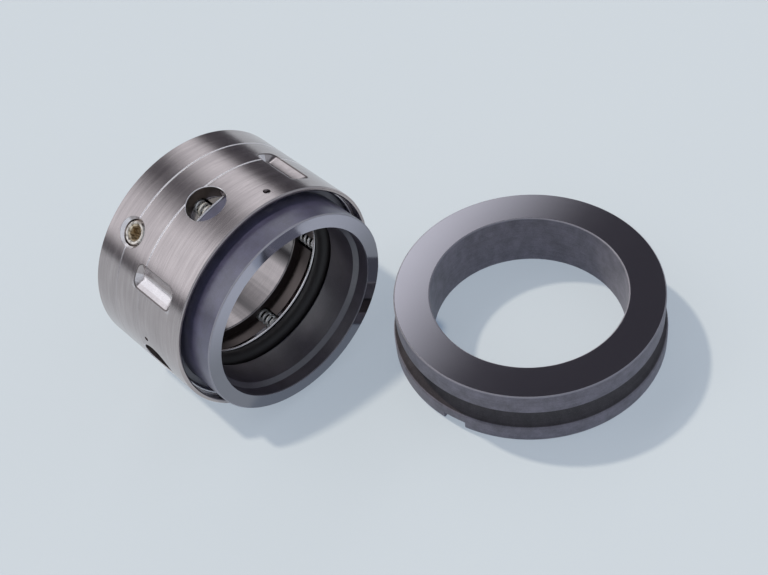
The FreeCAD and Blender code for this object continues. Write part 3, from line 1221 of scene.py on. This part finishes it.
outer_colour = brushed.mix(tone, (0.40, 0.355, 0.35), (0.56, 0.50, 0.49))
# Painted reflection: the bore is darkened in patches.
outer_colour = brushed.mix(bore * (1 - painted_reflection_patches * 0.6), outer_colour, (0.12, 0.11, 0.11))
painted_highlight_colour = brushed.mix(tone, (0.86, 0.82, 0.86), (0.98, 0.95, 0.98))
brushed.set(
    colour=brushed.mix(inside, brushed.mix(painted_highlight, outer_colour, painted_highlight_colour), (0.12, 0.10, 0.095)),
    metallic=1 - painted_highlight * 0.4,
    roughness=gloss * 0.10 + 0.14 + inside * 0.2 + painted_highlight * 0.12,
    normal=brushed.bump(relief, 0.5, tool_mark),
)
print(brushed.owner.name, len(brushed.nodes), "nodes")

# %% [markdown]
# Sintered silicon carbide is a very hard, dark grey ceramic. Its flanks are ground and look matt and
# faintly mottled, and painted shade darkens the ring's bore and the seat's groove. A painted highlight
# lightens the chamfer below the lapped face. The sealing face is lapped flat with diamond paste until
# it mirrors the room, so there the finish turns to a dark mirror, and on the face ring a painted
# reflection makes it lighter towards the top and darker towards the bottom. The same recipe serves
# both rings, with the colours of each.

# %% Silicon carbide
lap_skin = 0.02
chamfer_reach = 0.42
chamfer_highlight_colour = (0.34, 0.33, 0.38)
speck_colour = (0.22, 0.21, 0.25)
gloss_spread = 0.12
grit_depth = 0.004 * mm


def carbide(name, centre, axis, face_height, matt, lap_shaded_colour, lap_lit_colour, index, roughness):
    """Ground carbide with a lapped face whose colour may change from its low to its high side, a painted
    reflection.
    """
    stone = Finish(name)
    turned = stone.turned(centre, axis)
    lapped = turned[0] > (face_height - lap_skin) * mm
    cloud = stone.noise(stone.point, 240.0, 5.0, 0.65)
    grit = stone.noise(stone.point, 2600.0, 4.0, 0.7)
    wheel = rings(stone, turned, 0.3, 3.0)
    haze = stone.noise(stone.point, 45.0, 4.0, 0.5, 0.8)
    speck = stone.noise(stone.point, 5200.0, 2.0, 0.5).above(0.62, 0.75)
    tone = (cloud * 0.5 + grit * 0.3 + wheel * 0.2).above(*contrast)
    # Painted shade: matt gives where the ground colour is darkened, and the two colours.
    painted_shade, unshaded_colour, painted_shade_colour = matt(turned)
    ground = stone.mix(painted_shade, unshaded_colour, painted_shade_colour)
    ground = stone.mix(tone, stone.tinted(ground, 0.6), stone.tinted(ground, 1.4))
    # Painted highlight on the chamfer just below the lapped face.
    chamfer = span(turned[0], face_height - chamfer_reach, face_height - lap_skin)
    ground = stone.mix(chamfer * 0.6, ground, chamfer_highlight_colour)
    ground = stone.mix(speck * 0.35, ground, speck_colour)
    ground_gloss = (cloud * 0.4 + grit * 0.3 + wheel * 0.3) * gloss_spread + (roughness - gloss_spread / 2)
    lapped_gloss = haze * 0.05 + speck * 0.05 + 0.065
    # The lapped face gets a painted reflection, lighter towards its high side and darker towards its low
    # side.
    stone.set(
        colour=stone.mix(lapped, ground, stone.mix(turned[2].above(0.0, 0.95), lap_shaded_colour, lap_lit_colour)),
        metallic=lapped,
        ior=index,
        roughness=lapped * lapped_gloss + (1 - lapped) * ground_gloss,
        normal=stone.bump((grit * 0.6 + wheel * 0.4) * (1 - lapped), 0.4, grit_depth),
    )
    print(name, len(stone.nodes), "nodes")
    return stone


def ring_matt(turned):
    """Painted shade darkens the face ring's bore."""
    return turned[1] < (nose_bore_radius + 0.3) * mm, (0.062, 0.058, 0.105), (0.043, 0.035, 0.049)


def seat_matt(turned):
    """Painted shade darkens the seat ring's groove."""
    in_groove = span(turned[0], foot_top - 0.6, flange_low + 0.05)
    in_groove = in_groove * span(turned[1], seat_bore_radius + 1, seat_foot_radius - 0.4)
    return in_groove, (0.155, 0.142, 0.175), (0.05, 0.043, 0.05)


ring_lap_painted_shade, ring_lap_painted_light, seat_lap = (0.25, 0.25, 0.28), (0.48, 0.47, 0.54), (0.34, 0.325, 0.355)
face_stone = carbide(
    "face_ring_carbide", shaft_point, "X", 0.0, ring_matt, ring_lap_painted_shade, ring_lap_painted_light, 2.0, 0.34
)
seat_stone = carbide(
    "seat_ring_carbide", seat_axis, "Z", seat_height, seat_matt, seat_lap, seat_lap, 1.5, 0.48
)

# %% [markdown]
# The O-ring is black rubber with the dull bloom of a moulded part, and it is a little shinier where it
# was handled. The set screws are plain bright steel with golden-brown sockets, light and dark in patches.

# %% Rubber and set screws
rubber = Finish("black_rubber")
rubber.coordinates()
bloom = rubber.noise(rubber.point, 210.0, 4.0)
pimple = rubber.noise(rubber.point, 3800.0, 3.0)
rubber.set(
    colour=rubber.mix(bloom, (0.014, 0.012, 0.012), (0.030, 0.026, 0.026)),
    roughness=bloom * 0.2 + 0.42,
    specular=0.5,
    normal=rubber.bump(pimple, 0.35, 0.01 * mm),
)

screw_steel = Finish("screw_steel")
turned = screw_steel.turned(shaft_point, "X")
from_middle = away(folded(turned, screw_angles), turned[0] + screw_depth * mm)
in_socket = (from_middle < socket_mouth * mm) * (turned[1] < (screw_top - 0.12) * mm)
screw_mark = screw_steel.noise(screw_steel.point, 900.0, 4.0)
screw_ring = screw_steel.noise(screw_steel.vector(from_middle * 5000.0, 0.0, 0.0), 1.0, 2.0)
screw_tone = (screw_mark * 0.6 + screw_ring * 0.4).above(0.38, 0.6)
end_colour = screw_steel.mix(screw_tone, (0.26, 0.23, 0.20), (0.78, 0.72, 0.66))
socket_colour = screw_steel.mix(screw_tone, (0.22, 0.16, 0.10), (0.95, 0.82, 0.62))
screw_steel.set(
    colour=screw_steel.mix(in_socket, end_colour, socket_colour),
    metallic=1 - in_socket * 0.3,
    roughness=screw_tone * 0.12 + 0.16 + in_socket * 0.12,
    normal=screw_steel.bump(screw_tone, 0.4, tool_mark),
)
print("finishes", len(bpy.data.materials))

# %% [markdown]
# Each finer piece takes its node's place and rides on the node's body, so it moves with the joint. The
# springs stand in the retainer and are squeezed when the face ring is pushed back, so they ride on
# the retainer.


def stands_for(piece, body, slot, finish, *nodes):
    """The piece takes the nodes' place on their body, with its finish."""
    piece.data.materials.clear()
    piece.data.materials.append(finish.owner)
    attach(piece, body)
    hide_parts(*nodes)


stands_for(retainer, "fixed_set", "brushed_stainless", brushed, "retainer")
stands_for(face_ring, "floating_face", "silicon_carbide", face_stone, "face_ring")
stands_for(thrust_disc, "floating_face", "bright_stainless", bright, "thrust_disc")
stands_for(oring, "floating_face", "black_rubber", rubber, "shaft_oring")
stands_for(snap_ring, "fixed_set", "bright_stainless", bright, "snap_ring")
for number, piece in enumerate(coils):
    stands_for(piece, "fixed_set", "spring_wire", wire, "spring_" + str(number + 1))
    anchor = at_angle(spring_angles[number]) @ on_shaft(spring_back, spring_circle)
    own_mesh(piece)
for number, piece in enumerate(screws):
    stands_for(piece, "fixed_set", "bright_stainless", screw_steel, "set_screw_" + str(number + 1))
stands_for(seat_ring, "fixed_set", "silicon_carbide", seat_stone, "seat_ring")

# %% [markdown]
# The photograph's two shadows don't agree: the seat's falls from a lamp 48 degrees high on the left,
# and the rotary unit's from one 69 degrees high on the left and further to the front. So each half gets
# its own sun with a small disc. A sun lights its own half and the table, and only that half shades it.
# A lamp that lights chosen pieces is set by light linking, in place of a mesh that would block it.

# %% Lamps
sun_angle = 3.6
sun_colour = (1.04, 1.0, 0.86)


def lamp(name, shade_per_height, strength, lit):
    """A sun that throws shadows of the lit pieces, so far for each unit of their height."""
    sun = bpy.data.objects.new(name, bpy.data.lights.new(name, "SUN"))
    bpy.context.scene.collection.objects.link(sun)
    way = Vector((-shade_per_height[0], -shade_per_height[1], 1))
    sun.rotation_euler = way.to_track_quat("Z", "Y").to_euler()
    sun.data.angle = math.radians(sun_angle)
    sun.data.energy = strength
    sun.data.color = sun_colour
    sun.visible_glossy = False
    receivers = bpy.data.collections.new(name + "_receivers")
    blockers = bpy.data.collections.new(name + "_blockers")
    receivers.objects.link(floor)
    for piece in lit:
        receivers.objects.link(piece)
        blockers.objects.link(piece)
    sun.light_linking.receiver_collection = receivers
    sun.light_linking.blocker_collection = blockers


lamp("lamp_for_seat", (0.89, 0.07), 2.27, [seat_ring])
rotary = [retainer, face_ring, thrust_disc, oring, snap_ring, *coils, *screws]
lamp("lamp_for_rotary", (0.24, 0.31), 1.82, rotary)
print("pieces", len(rotary) + 1)
